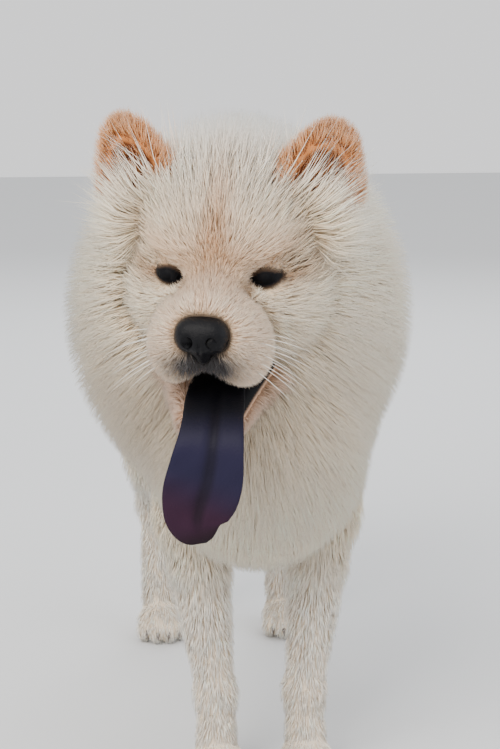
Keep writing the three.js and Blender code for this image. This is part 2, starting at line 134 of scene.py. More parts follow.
FLOOR_HALF_SIZE = 6
floor_mesh = bpy.data.meshes.new("floor")
floor_sheet = bmesh.new()
bmesh.ops.create_grid(floor_sheet, x_segments=1, y_segments=1, size=FLOOR_HALF_SIZE)
floor_sheet.to_mesh(floor_mesh)
floor_sheet.free()
floor = new_object("floor", floor_mesh, plain_material("floor", (0.62, 0.63, 0.64), 0.9))

# Flesh
# The dog's body under its coat: short-backed, deep-chested, with a broad head, padded muzzle and thick lids.
# Each form is a blend of balls and tapering limbs, the same ones that shape the solids.
LEFT, RIGHT = 1, -1
SIDES = {"left": LEFT, "right": RIGHT}


def ball(centre, radii):
    return ("ball", np.array(centre, float), np.array(radii, float))


def limb(start, end, start_radius, end_radius):
    return ("limb", np.array(start, float), np.array(end, float), start_radius, end_radius)


def primitive_distance(primitive, q):
    if primitive[0] == "ball":
        _, centre, radii = primitive
        scaled = (q - centre) / radii
        share = np.linalg.norm(scaled, axis=1)
        slope = np.maximum(np.linalg.norm(scaled / radii, axis=1), 1e-6)
        return share * (share - 1) / slope
    _, start, end, start_radius, end_radius = primitive
    along = end - start
    t = np.clip((q - start) @ along / (along @ along), 0, 1)
    nearest = start + t[:, None] * along
    return np.linalg.norm(q - nearest, axis=1) - (start_radius + (end_radius - start_radius) * t)


def soft_min(a, b, softness):
    near = np.maximum(softness - np.abs(a - b), 0) / softness
    return np.minimum(a, b) - near * near * softness / 4


def smooth(x, low, high):
    t = np.clip((x - low) / (high - low), 0, 1)
    return t * t * (3 - 2 * t)


def form(primitives, softness, place=WORLD, cuts=(), cut_softness=5.0, grow=0.0):
    return {
        "primitives": list(primitives),
        "softness": softness,
        "place": place,
        "cuts": list(cuts),
        "cut_softness": cut_softness,
        "grow": grow,
    }


def distance(made, p):
    q = to_local(made["place"], p)
    value = primitive_distance(made["primitives"][0], q)
    for primitive in made["primitives"][1:]:
        value = soft_min(value, primitive_distance(primitive, q), made["softness"])
    grow = made["grow"]
    value = value - (grow(p) if callable(grow) else grow)
    for cut in made["cuts"]:
        gone = cut(q) if callable(cut) else primitive_distance(cut, q)
        value = -soft_min(-value, gone, made["cut_softness"])
    return value


def union_distance(forms, softness):
    def least(p):
        value = distance(forms[0], p)
        for other in forms[1:]:
            value = soft_min(value, distance(other, p), softness)
        return value

    return least


def slope(field, p, step=0.4):
    rises = []
    for axis in range(3):
        offset = np.zeros(3)
        offset[axis] = step
        rises.append(field(p + offset) - field(p - offset))
    rise = np.stack(rises, axis=1)
    return rise / np.maximum(np.linalg.norm(rise, axis=1, keepdims=True), 1e-9)


torso = form(
    [
        ball((0, -120, 355), (86, 130, 115)),
        ball((0, 40, 366), (80, 150, 92)),
        ball((0, 160, 370), (78, 84, 86)),
    ],
    45,
)
ruff = form(
    [
        ball((-18, -172, 440), (157, 98, 176)),
        ball((-6, -226, 322), (98, 66, 108)),
        ball((-6, -112, 392), (126, 82, 112)),
    ],
    34,
)
EYE_TURN = {side: turn("Z", side * 16) @ turn("Y", -side * 6) for side in (LEFT, RIGHT)}
LID_HALF_WIDTH = 11.6
UPPER_LID_RISE = 4.5
LOWER_LID_DROP = 3.6
LID_RADIUS = 13.6


def lid_slit(q, side):
    """Negative inside the opening between the lids of one eye, in front of the eyeball's middle."""
    r = (q - np.array([side * EYE_X, 0, 0])) @ EYE_TURN[side]
    out = np.clip(side * r[:, 0] / LID_HALF_WIDTH, -1.6, 1.6)
    bow = (1 - out * out) * (1 - 0.38 * out)
    over = (r[:, 2] - UPPER_LID_RISE * bow) / 1.15
    under = (-LOWER_LID_DROP * bow - r[:, 2]) / 1.15
    wide = np.abs(r[:, 0]) - LID_HALF_WIDTH
    return np.maximum(np.maximum(np.maximum(over, under), wide), r[:, 1] + 5)


def both(make):
    return [make(RIGHT), make(LEFT)]


MOUTH = ball((0, -36, -80), (22, 56, 16))
EYE_SOCKETS = both(lambda s: ball((s * (EYE_X + 1), -15, 1), (12.5, 11, 8.5)))
LIP_CLEFT = limb((0, -80, -42), (0, -72, -70), 2, 3.5)
head = form(
    [
        ball((0, 50, 16), (60, 66, 60)),
        ball((0, 2, 22), (42, 28, 28)),
        *both(lambda s: ball((s * 38, 24, -22), (28, 38, 36))),
        limb((0, -2, -4), (0, -60, -17), 22, 17),
        *both(lambda s: ball((s * 18.5, -46, -38), (26, 31, 29))),
        *both(lambda s: ball((s * 24, -36, -54), (22, 33, 25))),
        ball((0, 34, -44), (46, 44, 44)),
    ],
    15,
    HEAD,
    [*EYE_SOCKETS, LIP_CLEFT, MOUTH],
    7,
)
lids = form(both(lambda s: ball((s * EYE_X, 0, 0), (LID_RADIUS,) * 3)), 1, HEAD)
HINGE = np.array([0, 42, -48.0])
JAW = (HEAD[0] @ turn("X", 21), to_world(HEAD, HINGE)[0])
TROUGH = ball((0, -70, -12), (20, 62, 13))
jaw = form(
    [
        ball((0, -92, -32), (28, 34, 15)),
        *both(lambda s: limb((s * 34, -40, -26), (s * 16, -112, -22), 11, 8)),
        ball((0, -44, -38), (36, 46, 19)),
        limb((-14, -114, -22), (14, -114, -22), 8, 8),
    ],
    10,
    JAW,
    [TROUGH],
    6,
)
nose = form(
    [
        ball((0, -77, -26), (18, 14, 13)),
        *both(lambda s: ball((s * 11.5, -78, -29), (10.5, 12, 13))),
        limb((0, -82, -34), (0, -74, -47), 10, 6),
    ],
    6,
    HEAD,
    [
        *both(lambda s: ball((s * 9.5, -91, -31), (4.2, 8, 4.6))),
        *both(lambda s: limb((s * 10, -88, -32), (s * 21, -79, -33), 3, 1.8)),
        limb((0, -93, -30), (0, -86, -48), 0.8, 0.8),
    ],
    2.0,
)


def ear_place(side):
    base = np.array([side * 67.0, 40, 42])
    tip = np.array([side * 92.0, 46, 116])
    rise = (tip - base) / np.linalg.norm(tip - base)
    out = np.array([side * 0.96, 0.25, 0])
    out = out - rise * (out @ rise)
    out /= np.linalg.norm(out)
    front = np.cross(rise, out)
    front *= -np.sign(front[1])
    return (HEAD[0] @ np.stack([out, front, rise], axis=1), to_world(HEAD, base)[0])


EAR = {side: ear_place(side) for side in (LEFT, RIGHT)}
EAR_CUP = ball((0, 10, 28), (22, 10, 32))
ears = {
    side: form(
        [ball((0, 0, 18), (37, 9, 38)), ball((0, 0, 50), (23, 8, 27))], 12, EAR[side], [EAR_CUP], 4
    )
    for side in (LEFT, RIGHT)
}


FORE_X = 42
HIND_X = 72
FORE_BLEND = 14
HIND_BLEND = 18


def fore_shank(side):
    return limb((side * FORE_X, -179, 80), (side * FORE_X, -189, 30), 15, 17)


def hind_shank(side):
    return limb((side * HIND_X, 238, 146), (side * HIND_X, 221, 34), 18, 18)


def foreleg(side):
    return form(
        [
            limb((side * 54, -172, 330), (side * 60, -150, 250), 42, 32),
            limb((side * 60, -156, 245), (side * FORE_X, -179, 80), 28, 15),
            fore_shank(side),
        ],
        FORE_BLEND,
    )


def hindleg(side):
    return form(
        [
            limb((side * 54, 168, 370), (side * 66, 156, 290), 62, 52),
            limb((side * 66, 160, 285), (side * HIND_X, 236, 150), 44, 19),
            hind_shank(side),
        ],
        HIND_BLEND,
    )


def lower_legs(side):
    """The parts of both legs of one side that the feet's shell covers."""
    fore = limb((side * 56, -160, 200), (side * FORE_X, -179, 80), 24.5, 15)
    hind = limb((side * 69.8, 208, 200), (side * HIND_X, 236, 150), 28, 19)
    return [form([fore, fore_shank(side)], FORE_BLEND), form([hind, hind_shank(side)], HIND_BLEND)]


TOES = (-1.5, -0.5, 0.5, 1.5)
PAWS = [(s * FORE_X, -199) for s in (LEFT, RIGHT)] + [(s * HIND_X, 209) for s in (LEFT, RIGHT)]


def paw(x, y):
    toes = []
    for t in TOES:
        reach = 33 if abs(t) < 1 else 25
        toes.append(limb((x + t * 10, y - 10, 20), (x + t * 12, y - reach, 11), 10, 9.5))
    return form([ball((x, y, 17), (24, 32, 23)), *toes], 3, grow=-1.0)


forelegs = [foreleg(s) for s in (LEFT, RIGHT)]
hindlegs = [hindleg(s) for s in (LEFT, RIGHT)]
paws = [paw(x, y) for x, y in PAWS]
tail_base = form(
    [limb((0, 214, 420), (0, 250, 470), 30, 40), limb((0, 250, 470), (1, 240, 506), 40, 44)], 12
)
tail_plume = form(
    [limb((2, 228, 524), (10, 186, 534), 46, 50), limb((10, 186, 534), (24, 98, 514), 50, 34)], 14
)


def inside(made, depth):
    """The same form moved in by a depth, or out by a negative one, which may vary from place to place."""
    if callable(depth):
        return {**made, "grow": lambda p: made["grow"] - depth(p)}
    return {**made, "grow": made["grow"] - depth}


# Skin
# What the coat grows from: skin in the coat's markings, darkened by painted shade under the fur, black on the
# lids, lips and inside the mouth.
# It is one object of five closed shells: head, body, ruff, tail and feet, finest on the head and feet.
def seeds(sheet, made, shrink):
    """Adds balls to a bmesh that cover a form, to be fused by a remesh."""
    spread = Matrix(made["place"][0].tolist()).to_4x4()
    for primitive in made["primitives"]:
        if primitive[0] == "ball":
            spots = [(primitive[1], np.maximum(primitive[2] - shrink, 3))]
        else:
            _, start, end, first, last = primitive
            count = 2 + int(np.linalg.norm(end - start) / (0.35 * min(first, last)))
            spots = [
                (start + (end - start) * t, np.full(3, max(first + (last - first) * t - shrink, 3)))
                for t in np.linspace(0, 1, count)
            ]
        for centre, radii in spots:
            middle = to_world(made["place"], centre)[0]
            matrix = Matrix.Translation(middle.tolist()) @ spread @ Matrix.Diagonal((*radii, 1))
            bmesh.ops.create_icosphere(sheet, subdivisions=3, radius=1, matrix=matrix)


SETTLE_ROUNDS = 7
SETTLE_SHARE = 0.85


def fused(forms, field, voxel, shrink=0.0):
    """A closed shell of quads on the zero level of a field, in millimetres."""
    sheet = bmesh.new()
    for made in forms:
        seeds(sheet, made, shrink)
    mesh = bpy.data.meshes.new("seed")
    sheet.to_mesh(mesh)
    sheet.free()
    holder = bpy.data.objects.new("seed", mesh)
    scene.collection.objects.link(holder)
    remesh = holder.modifiers.new("fuse", "REMESH")
    remesh.mode = "VOXEL"
    remesh.voxel_size = voxel
    done = holder.evaluated_get(bpy.context.evaluated_depsgraph_get()).to_mesh()
    points = np.empty(len(done.vertices) * 3)
    done.vertices.foreach_get("co", points)
    points = points.reshape(-1, 3)
    quads = np.empty(len(done.loops), int)
    done.loops.foreach_get("vertex_index", quads)
    quads = quads.reshape(-1, 4)
    holder.to_mesh_clear()
    bpy.data.objects.remove(holder)
    bpy.data.meshes.remove(mesh)
    for _ in range(SETTLE_ROUNDS):
        step = np.clip(field(points), -voxel * 3, voxel * 3) * SETTLE_SHARE
        points = points - slope(field, points) * step[:, None]
    return points, quads


def add_tint(mesh, tint):
    layer = mesh.color_attributes.new("tint", "FLOAT_COLOR", "POINT")
    opaque = np.column_stack([tint, np.ones(len(tint))])
    layer.data.foreach_set("color", opaque.astype(np.float32).ravel())


def mesh_from(name, points, faces, tint, uv=None):
    mesh = bpy.data.meshes.new(name)
    corners = faces.shape[1]
    mesh.vertices.add(len(points))
    mesh.vertices.foreach_set("co", metres(points).astype(np.float32).ravel())
    mesh.loops.add(faces.size)
    mesh.loops.foreach_set("vertex_index", faces.ravel().astype(np.int32))
    mesh.polygons.add(len(faces))
    mesh.polygons.foreach_set("loop_start", np.arange(0, faces.size, corners, dtype=np.int32))
    mesh.update(calc_edges=True)
    mesh.polygons.foreach_set("use_smooth", np.ones(len(faces), bool))
    add_tint(mesh, tint)
    if uv is not None:
        layer = mesh.uv_layers.new(name="OFBake")
        layer.data.foreach_set("uv", uv[faces.ravel()].astype(np.float32).ravel())
    mesh.validate()
    return mesh


def head_field(p):
    flesh = soft_min(distance(head, p), distance(lids, p), 3)
    flesh = soft_min(flesh, distance(ears[LEFT], p), 8)
    flesh = soft_min(flesh, distance(ears[RIGHT], p), 8)
    flesh = soft_min(flesh, distance(jaw, p), 3)
    q = to_local(HEAD, p)
    for side in (LEFT, RIGHT):
        flesh = -soft_min(-flesh, lid_slit(q, side), 1.2)
    return flesh


RUFF_INSET = 36
TAIL_INSET = 26
BODY_BLEND = 22
SHANK_INSET = 3
ruff_skin = inside(ruff, lambda p: RUFF_INSET * (0.55 + 0.45 * smooth(p[:, 2], 250, 380)))
tail_core = [inside(tail_base, TAIL_INSET), inside(tail_plume, TAIL_INSET)]
tail_field = union_distance(tail_core, 12)
body_union = union_distance([torso, ruff_skin, *forelegs, *hindlegs, *tail_core], BODY_BLEND)


def ruff_field(p):
    return distance(ruff_skin, p)


def body_field(p):
    """The body's own skin, drawn in below the elbows and knees so that the feet's shell covers it."""
    return body_union(p) + SHANK_INSET * (1 - smooth(p[:, 2], 150, 215))


foot_forms = [*lower_legs(LEFT), *lower_legs(RIGHT), *paws]
foot_union = union_distance(foot_forms, 6)
SOLE_HEIGHT = 0.6


def foot_field(p):
    return np.maximum(foot_union(p), -p[:, 2] + SOLE_HEIGHT)


HEAD_VOXEL = 1.7
BODY_VOXEL = 5.5
RUFF_VOXEL = 6
TAIL_VOXEL = 5
FOOT_VOXEL = 2.8
head_points, head_quads = fused([head, lids, ears[LEFT], ears[RIGHT], jaw], head_field, HEAD_VOXEL)
body_points, body_quads = fused([torso, *forelegs, *hindlegs], body_field, BODY_VOXEL, 2)
ruff_points, ruff_quads = fused([ruff], ruff_field, RUFF_VOXEL, 40)
tail_points, tail_quads = fused([tail_base, tail_plume], tail_field, TAIL_VOXEL, 24)
foot_points, foot_quads = fused(foot_forms, foot_field, FOOT_VOXEL)

WHITE = np.array([0.94, 0.875, 0.785])
CREAM = np.array([0.93, 0.81, 0.635])
APRICOT = np.array([0.62, 0.32, 0.14])
RUST = np.array([0.34, 0.155, 0.06])
MUZZLE = np.array([0.88, 0.66, 0.485])
LIP_BLUE = np.array([0.022, 0.025, 0.034])
LIP_PINK = np.array([0.52, 0.32, 0.24])
BLACK = np.array([0.003, 0.003, 0.004])
EAR_ORANGE = np.array([0.60, 0.235, 0.065])
EAR_DARK = np.array([0.10, 0.020, 0.012])
# Painted shade, laid on the chest under the chin:
CHIN_SHADE_TAN = np.array([0.56, 0.41, 0.25])
# Dark fur round the eyes together with painted shade from the brow:
EYE_DARK_AND_SHADE = np.array([0.035, 0.020, 0.015])


def spot(q, centre, radii):
    return np.exp(-np.sum(((q - np.array(centre)) / np.array(radii)) ** 2, axis=1))


def mix(color, other, share):
    share = np.clip(share, 0, 1)[:, None]
    return color * (1 - share) + other * share


def markings(p):
    """The coat's colour at points of the skin, in linear light, with painted shade under the chin and,
    together with dark fur, round the eyes.
    """
    q = to_local(HEAD, p)
    color = np.tile(CREAM, (len(p), 1))
    color = mix(color, WHITE, np.maximum(smooth(p[:, 2], 520, 570), 1 - smooth(p[:, 2], 150, 260)))
    color = mix(color, WHITE, 0.7 * smooth(np.abs(p[:, 0] + 18), 105, 140))
    # Painted shade: a tan patch on the chest and ruff under the chin, where the chin shades the coat.
    color = mix(color, CHIN_SHADE_TAN, 0.65 * spot(p, (-45, -240, 395), (85, 90, 62)))
    near_face = (q[:, 1] < 60) & (np.abs(q[:, 0]) < 75)
    color = mix(color, MUZZLE, near_face * 0.75 * smooth(-q[:, 1], 10, 45) * smooth(-q[:, 2], -34, -5))
    streak = np.exp(-((q[:, 0] - 1) / 9) ** 2) * smooth(q[:, 2], 6, 26) * (1 - smooth(q[:, 2], 42, 74))
    color = mix(color, APRICOT, near_face * 0.6 * streak * (q[:, 1] < 45))
    color = mix(color, RUST, 0.5 * spot(q, (0, -22, 30), (9, 18, 9)))
    color = mix(color, APRICOT, near_face * 0.6 * spot(q, (0, -20, 16), (46, 34, 24)))
    color = mix(color, APRICOT, 0.5 * spot(q, (0, -64, -6), (4, 14, 8)))
    for side in (LEFT, RIGHT):
        color = mix(color, RUST, 0.65 * spot(q, (side * 60, 4, -3), (12, 20, 8)))
        color = mix(color, APRICOT, 0.5 * spot(q, (side * 46, -6, 17), (22, 22, 10)))
        color = mix(color, RUST, 0.5 * spot(q, (side * 24, -18, -6), (6, 12, 6)))
        r = (q - np.array([side * EYE_X, 0, 0])) @ EYE_TURN[side]
        gap = lid_slit(q, side)
        # Dark fur round each eye plus painted shade cast by the brow, full up to 3 mm from the opening and
        # fading out by 6.5 mm.
        eye_dark_and_shade = (1 - smooth(gap, 3.0, 6.5)) * (np.linalg.norm(r, axis=1) < 24) * (r[:, 1] < 6)
        color = mix(color, EYE_DARK_AND_SHADE, 0.96 * eye_dark_and_shade)
        r = to_local(EAR[side], p)
        on_ear = (distance(ears[side], p) < 7) * smooth(r[:, 2], 2, 24)
        color = mix(color, EAR_ORANGE, 0.95 * on_ear)
        color = mix(color, RUST, 0.3 * on_ear * smooth(r[:, 2], 55, 80))
        cup = primitive_distance(EAR_CUP, r)
        color = mix(color, EAR_DARK, on_ear * 0.96 * (1 - smooth(cup, -0.5, 2)))
    color = mix(color, LIP_BLUE, 0.97 * np.minimum(1, 1.9 * spot(q, (0, -78, -53), (23, 20, 14))))
    low = to_local(JAW, p)
    on_jaw = (distance(jaw, p) < 4) & (low[:, 1] < 0)
    color = mix(color, LIP_PINK, 0.7 * on_jaw * smooth(low[:, 2], -47, -32))
    return color


def bare(p):
    """From 0 on furred skin to 1 on the lids' rims, the lips and inside the mouth."""
    q = to_local(HEAD, p)
    naked = np.zeros(len(p))
    for side in (LEFT, RIGHT):
        r = (q - np.array([side * EYE_X, 0, 0])) @ EYE_TURN[side]
        rim = 1 - smooth(lid_slit(q, side), 1.4, 2.8)
        naked = np.maximum(naked, rim * (np.linalg.norm(r, axis=1) < 22))
    naked = np.maximum(naked, 1 - smooth(primitive_distance(MOUTH, q), 1.5, 4))
    low = to_local(JAW, p)
    rim = smooth(low[:, 2], -25, -21) * (low[:, 0] > 4)
    inner = np.maximum(1 - smooth(primitive_distance(TROUGH, low), 1, 3.5), rim)
    naked = np.maximum(naked, inner * (distance(jaw, p) < 4))
    return naked


def attribute_material(name, roughness, grain, bump, sheen=0.0, specular=0.5):
    """Takes its colour from the tint attribute, with a fine grain in Object coordinates."""
    material = plain_material(name, (0.5, 0.5, 0.5), roughness)
    nodes = material.node_tree.nodes
    links = material.node_tree.links
    shader = nodes["Principled BSDF"]
    shader.inputs["Sheen Weight"].default_value = sheen
    shader.inputs["Specular IOR Level"].default_value = specular
    tint = nodes.new("ShaderNodeAttribute")
    tint.attribute_name = "tint"
    where = nodes.new("ShaderNodeTexCoord")
    noise = nodes.new("ShaderNodeTexNoise")
    noise.inputs["Scale"].default_value = grain
    noise.inputs["Detail"].default_value = 3
    links.new(where.outputs["Object"], noise.inputs["Vector"])
    links.new(tint.outputs["Color"], shader.inputs["Base Color"])
    if bump:
        relief = nodes.new("ShaderNodeBump")
        relief.inputs["Strength"].default_value = bump
        relief.inputs["Distance"].default_value = 0.0006
        links.new(noise.outputs["Fac"], relief.inputs["Height"])
        links.new(relief.outputs["Normal"], shader.inputs["Normal"])
    return material


def joined(parts):
    offset = 0
    points, faces = [], []
    for part_points, part_faces in parts:
        points.append(part_points)
        faces.append(part_faces + offset)
        offset += len(part_points)
    return np.concatenate(points), np.concatenate(faces)


shells = [
    (head_points, head_quads),
    (body_points, body_quads),
    (ruff_points, ruff_quads),
    (tail_points, tail_quads),
    (foot_points, foot_quads),
]
skin_points, skin_quads = joined(shells)
# Painted shade: the skin takes the coat's markings darkened, so that it reads as the shaded depth of the coat
# between the tufts.
UNDERFUR_SHADE = np.array([0.78, 0.70, 0.61])
skin_naked = np.maximum(bare(skin_points), 0.9 * (1 - smooth(distance(nose, skin_points), 1.2, 4.0)))
skin_tint = mix(markings(skin_points) * UNDERFUR_SHADE, BLACK, skin_naked)
skin = new_object(
    "skin",
    mesh_from("skin", skin_points, skin_quads, skin_tint),
    attribute_material("skin", 0.6, 900, 0.35, specular=0.08),
)
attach(skin, "root")
flesh_nodes = ["torso", "neck_ruff", "head", "jaw", "tail_base", "tail_plume"]
for name in SIDES:
    flesh_nodes += [part + name for part in ("foreleg_", "hindleg_", "forepaw_", "hindpaw_", "ear_")]
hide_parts(*flesh_nodes)

# Coat
# A cream double coat: plush on the face and legs, a long stand-off ruff, breeches and tail plume.
# It is made of thin closed tufts rooted in the skin, which reach out as far as the solids do.
SEED = 20418
RING_PLACES = (0.0, 0.5)
ROOT_SINK = 1.2
TIP_SLACK = 2.0
FLOOR_GAP = 0.8
PIECE_TRIANGLES = 196000
# Painted shade and light along each tuft: darker and warmer at the root, lighter at the tip, standing in for
# the coat's self-shadow.
ROOT_SHADE = np.array([0.82, 0.70, 0.56])
TIP_LIGHT = 1.05
rng = np.random.default_rng(SEED)
FUR = attribute_material("fur", 0.8, 700, 0, sheen=0.06, specular=0.12)
fur_shader = FUR.node_tree.nodes["Principled BSDF"]
fur_shader.inputs["Subsurface Weight"].default_value = 0.3
fur_shader.inputs["Subsurface Radius"].default_value = (1.0, 0.85, 0.7)
fur_shader.inputs["Subsurface Scale"].default_value = 0.0012


def head_coat_depth(p):
    q = to_local(HEAD, p)
    back = q[:, 1] + 0.6 * np.maximum(q[:, 2] - 10, 0) + 0.5 * np.maximum(np.abs(q[:, 0]) - 42, 0)
    return 7 + 41 * smooth(back, -28, 62)


def torso_coat_depth(p):
    return 6 + 26 * smooth(p[:, 1], -200, -70) + 10 * smooth(p[:, 1], 160, 240)


outer_torso = inside(torso, lambda p: -torso_coat_depth(p))
outer_head = inside(head, lambda p: -head_coat_depth(p))


def outer_hind(made):
    return inside(made, lambda p: -(8 + 16 * smooth(p[:, 2], 130, 260)))


def outer_fore(made):
    return inside(made, lambda p: -(6 + 4 * smooth(p[:, 2], 60, 200)))


OUTERS = [
    ("torso", outer_torso),
    ("ruff", ruff),
    ("tail", tail_base),
    ("tail", tail_plume),
    *[("hind", outer_hind(leg)) for leg in hindlegs],
    *[("fore", outer_fore(leg)) for leg in forelegs],
    ("head", outer_head),
]
JAW_COAT = 9
EAR_COAT = 7
PAW_COAT = 4
LIMITS = [made for _, made in OUTERS]
LIMITS.append(inside(jaw, -JAW_COAT))
LIMITS += [inside(ears[side], -EAR_COAT) for side in (LEFT, RIGHT)]
LIMITS += [inside(made, -PAW_COAT) for made in paws]


def unit(vectors):
    return vectors / np.maximum(np.linalg.norm(vectors, axis=1, keepdims=True), 1e-9)


def scatter(points, quads, spacing):
    """Random places on a shell of quads, one for each square of the spacing."""
    triangles = np.concatenate([quads[:, [0, 1, 2]], quads[:, [0, 2, 3]]])
    a, b, c = (points[triangles[:, i]] for i in range(3))
    cross = np.cross(b - a, c - a)
    area = np.linalg.norm(cross, axis=1) / 2
    weight = area / spacing((a + b + c) / 3) ** 2
    count = int(weight.sum())
    chosen = rng.choice(len(triangles), count, p=weight / weight.sum())
    u, w = rng.random((2, count, 1))
    flip = u + w > 1
    u, w = np.where(flip, 1 - u, u), np.where(flip, 1 - w, w)
    return a[chosen] + u * (b[chosen] - a[chosen]) + w * (c[chosen] - a[chosen])


def unwrap(p, kind):
    """Where a root lies on the skin's own unwrap: each part of the body has its own rectangle."""
    if kind in ("face", "head"):
        q = to_local(HEAD, p) - np.array([0, 30, 5])
        u = np.arctan2(q[:, 0], -q[:, 1]) / (2 * np.pi) + 0.5
        v = np.arccos(np.clip(q[:, 2] / np.linalg.norm(q, axis=1), -1, 1)) / np.pi
        return np.column_stack([0.01 + 0.48 * u, 0.51 + 0.48 * v])
    if kind in ("torso", "ruff"):
        u = np.arctan2(p[:, 0], p[:, 2] - 370) / (2 * np.pi) + 0.5
        v = np.clip((p[:, 1] + 310) / 620, 0, 1)
        return np.column_stack([0.01 + 0.48 * u, 0.01 + 0.48 * v])
    if kind == "tail":
        u = np.arctan2(p[:, 0] - 10, p[:, 2] - 515) / (2 * np.pi) + 0.5
        v = np.clip((p[:, 1] - 60) / 240, 0, 1)
        return np.column_stack([0.51 + 0.22 * u, 0.51 + 0.48 * v])
    if kind == "ear":
        u = np.arctan2(p[:, 1] + 236, np.abs(p[:, 0] + 33) - 75) / (2 * np.pi) + 0.5
        v = np.clip((p[:, 2] - 500) / 140, 0, 1)
        return np.column_stack([np.where(p[:, 0] > -33, 0.76, 0.88) + 0.11 * u, 0.51 + 0.48 * v])
    which = (p[:, 0] > 0) * 1 + (p[:, 1] > 0) * 2
    u = np.arctan2(p[:, 0] - np.sign(p[:, 0]) * 55, p[:, 1] - np.where(p[:, 1] > 0, 190, -175)) / (2 * np.pi)
    v = np.clip(p[:, 2] / 420, 0, 1)
    return np.column_stack([0.51 + 0.12 * which + 0.11 * (u + 0.5), 0.01 + 0.48 * v])


def grow(name, kind, root, normal, lie, length, height, width, color, clump, gather):
    """One part of the coat: a closed three-sided tuft for each root, bent from the normal to the lie."""
    count = len(root)
    lie = lie + rng.normal(0, 0.1 if kind == "leg" else 0.2, (count, 3))
    lie = unit(lie - normal * np.sum(lie * normal, axis=1, keepdims=True))
    length = length * rng.uniform(0.8, 1.12, count)
    height = np.minimum(height * (0.25 + 0.78 * rng.random(count) ** 0.7), length * 0.9)
    reach = np.sqrt(length**2 - height**2)
    tip = root + normal * height[:, None] + lie * reach[:, None]
    leaders = rng.choice(count, max(1, int(count / gather)), replace=False)
    tree = kdtree.KDTree(len(leaders))
    for i, leader in enumerate(leaders):
        tree.insert(root[leader], i)
    tree.balance()
    own = leaders[np.array([tree.find(place)[1] for place in root])]
    share = (clump * rng.uniform(0.5, 1.2, count))[:, None]
    tip = tip + (tip[own] + 0.3 * (root - root[own]) - tip) * share
    over = np.maximum(np.min([distance(made, tip) for made in LIMITS], axis=0) - TIP_SLACK, 0)
    tip = tip - normal * np.minimum(over, height * 0.9)[:, None]
    bend = root + normal * (height * 0.72)[:, None] + lie * (reach * 0.28)[:, None]
    start = root - normal * ROOT_SINK
    width = np.broadcast_to(width, (count,))
    rings = []
    for t in RING_PLACES:
        centre = start * (1 - t) ** 2 + bend * (2 * t * (1 - t)) + tip * t**2
        tangent = unit((bend - start) * (1 - t) + (tip - bend) * t)
        side = unit(np.cross(tangent, normal) + 1e-6)
        up = np.cross(side, tangent)
        half = (width * (1 - t) ** 0.6 / 2)[:, None]
        rings += [centre - side * half, centre + side * half, centre + up * half * 0.6]
    points = np.stack([*rings, tip], axis=1)
    points[:, :, 2] = np.maximum(points[:, :, 2], FLOOR_GAP)
    per_tuft = points.shape[1]
    faces = [(0, 1, 2)]
    for ring in range(len(RING_PLACES) - 1):
        for i, j in ((0, 1), (1, 2), (2, 0)):
            a, b = 3 * ring + i, 3 * ring + j
            faces += [(a, a + 3, b + 3), (a, b + 3, b)]
    last = 3 * (len(RING_PLACES) - 1)
    faces += [(last + i, per_tuft - 1, last + j) for i, j in ((0, 1), (1, 2), (2, 0))]
    faces = np.array(faces)
    levels = np.repeat([*RING_PLACES, 1.0], [3] * len(RING_PLACES) + [1])
    # Each tuft's colour is a random tone per tuft and per clump, times painted shade that darkens it towards
    # the root and painted light at its tip.
    streak = rng.normal(1, 0.05, count) * rng.normal(1, 0.055, count)[own]
    streak_and_root_shade = streak[:, None, None] * (ROOT_SHADE + (TIP_LIGHT - ROOT_SHADE) * levels[:, None] ** 0.7)[None]
    tint = np.clip(color[:, None, :] * streak_and_root_shade, 0.004, 0.92)
    uv = unwrap(root, kind)[:, None, :] + np.column_stack(
        [np.where(np.arange(per_tuft) % 3 == 1, 0.003, 0), levels * 0.003]
    )
    order = np.argsort(root[:, 0] * 0.3 + root[:, 1] + root[:, 2] * 0.2)
    most = int(PIECE_TRIANGLES / len(faces))
    pieces = int(math.ceil(count / most))
    for number, chosen in enumerate(np.array_split(order, pieces)):
        first_points = (np.arange(len(chosen)) * per_tuft)[:, None, None]
        title = name if pieces == 1 else f"{name}_{number + 1}"
        mesh = mesh_from(
            title,
            points[chosen].reshape(-1, 3),
            (faces[None] + first_points).reshape(-1, 3),
            tint[chosen].reshape(-1, 3),
            uv[chosen].reshape(-1, 2),
        )
        coat = new_object(title, mesh, FUR)
        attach(coat, "root")


def outer_depth(p):
    """How far the solids' outer face lies above each point, and which part of the coat is outermost there."""
    values = np.stack([distance(made, p) for _, made in OUTERS])
    return -values.min(axis=0), values.argmin(axis=0)


def head_lie(p):
    q = to_local(HEAD, p)
    away = unit(q - np.array([0, -92, -30]))
    away[:, 2] -= 0.35 * smooth(-q[:, 2], 10, 60) * smooth(q[:, 1], -40, 20)
    for side in (LEFT, RIGHT):
        from_eye = q - np.array([side * (EYE_X - 2), -14, 0])
        share = np.exp(-((np.maximum(lid_slit(q, side), 0) / 9) ** 2))[:, None]
        away = away * (1 - share) + unit(from_eye) * share
    return away @ HEAD[0].T


# Coat of the face and head
# Fine plush on the muzzle and brow, longer over the cheeks and crown, that fans away from the nose.
# It lies away from the eyes and leaves the lids' rims, the lips and the nose free.
EAR_FROM = 44


def on_ears(p):
    near = np.minimum(distance(ears[LEFT], p), distance(ears[RIGHT], p))
    return (near < 0.8) & (to_local(HEAD, p)[:, 2] > EAR_FROM)


def face_spacing(p):
    q = to_local(HEAD, p)
    return 1.15 + 0.45 * smooth(q[:, 1], -30, 50)


